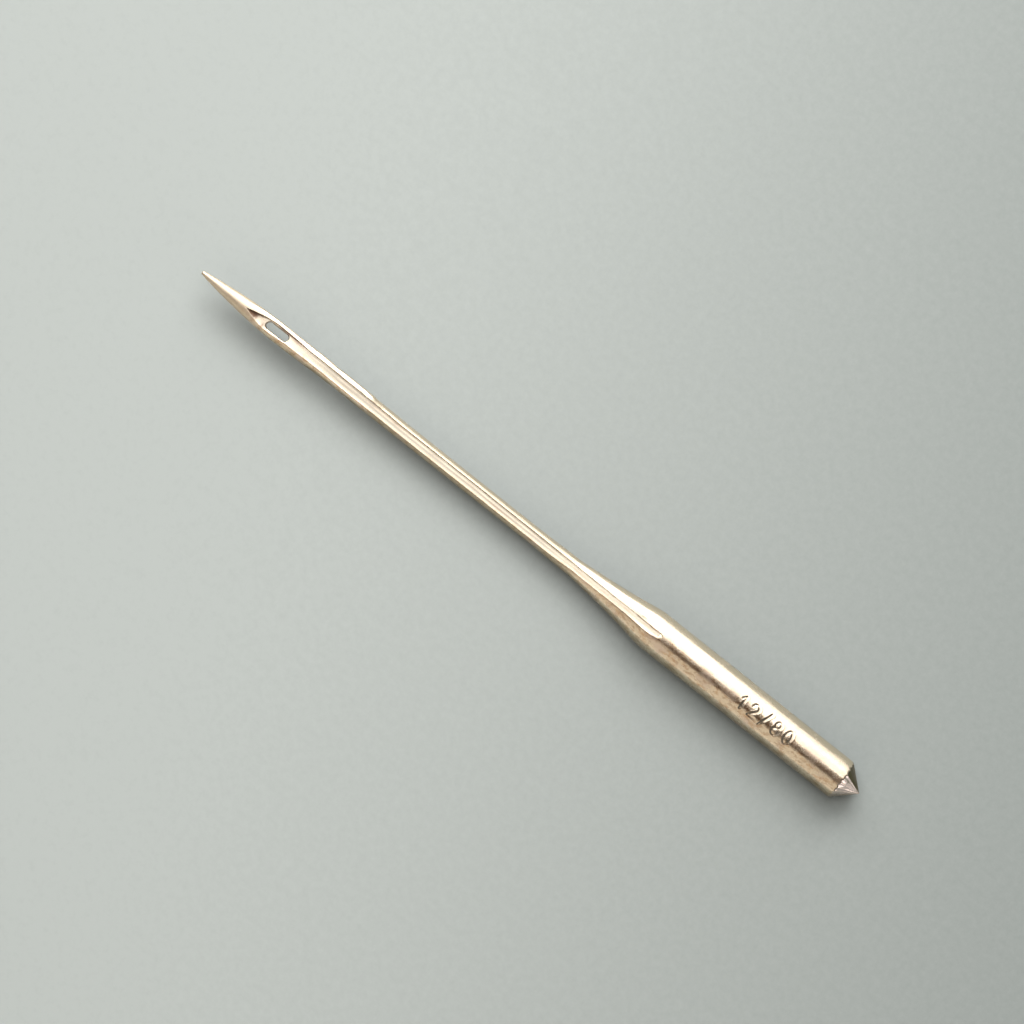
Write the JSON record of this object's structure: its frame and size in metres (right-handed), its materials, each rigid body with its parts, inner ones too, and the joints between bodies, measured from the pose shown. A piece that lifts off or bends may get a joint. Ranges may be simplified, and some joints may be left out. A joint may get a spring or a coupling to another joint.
{
  "type": "sewing machine needle",
  "caption": "Slim plated steel needle with a flat-sided round shank, tapered shoulder, grooved blade and an eye just above its point, for a sewing machine.",
  "frame": {"origin": "middle of the flat that is ground along the shank", "axes": "+X along the needle towards its tip, +Z out of the front, where the long groove is, and away from the shank's flat"},
  "size_m": [0.039, 0.002, 0.0016],
  "materials": {
    "nickel_plate": "aged warm nickel plate on steel, glossy with fine lengthwise scratches and faint brown spots"
  },
  "bodies": {
    "root": {"shank": "nickel_plate", "shoulder": "nickel_plate", "blade": "nickel_plate", "groove_wall_left": "nickel_plate", "groove_wall_right": "nickel_plate", "scarf": "nickel_plate", "eye_wall_left": "nickel_plate", "eye_wall_right": "nickel_plate", "point": "nickel_plate"}
  },
  "joints": []
}
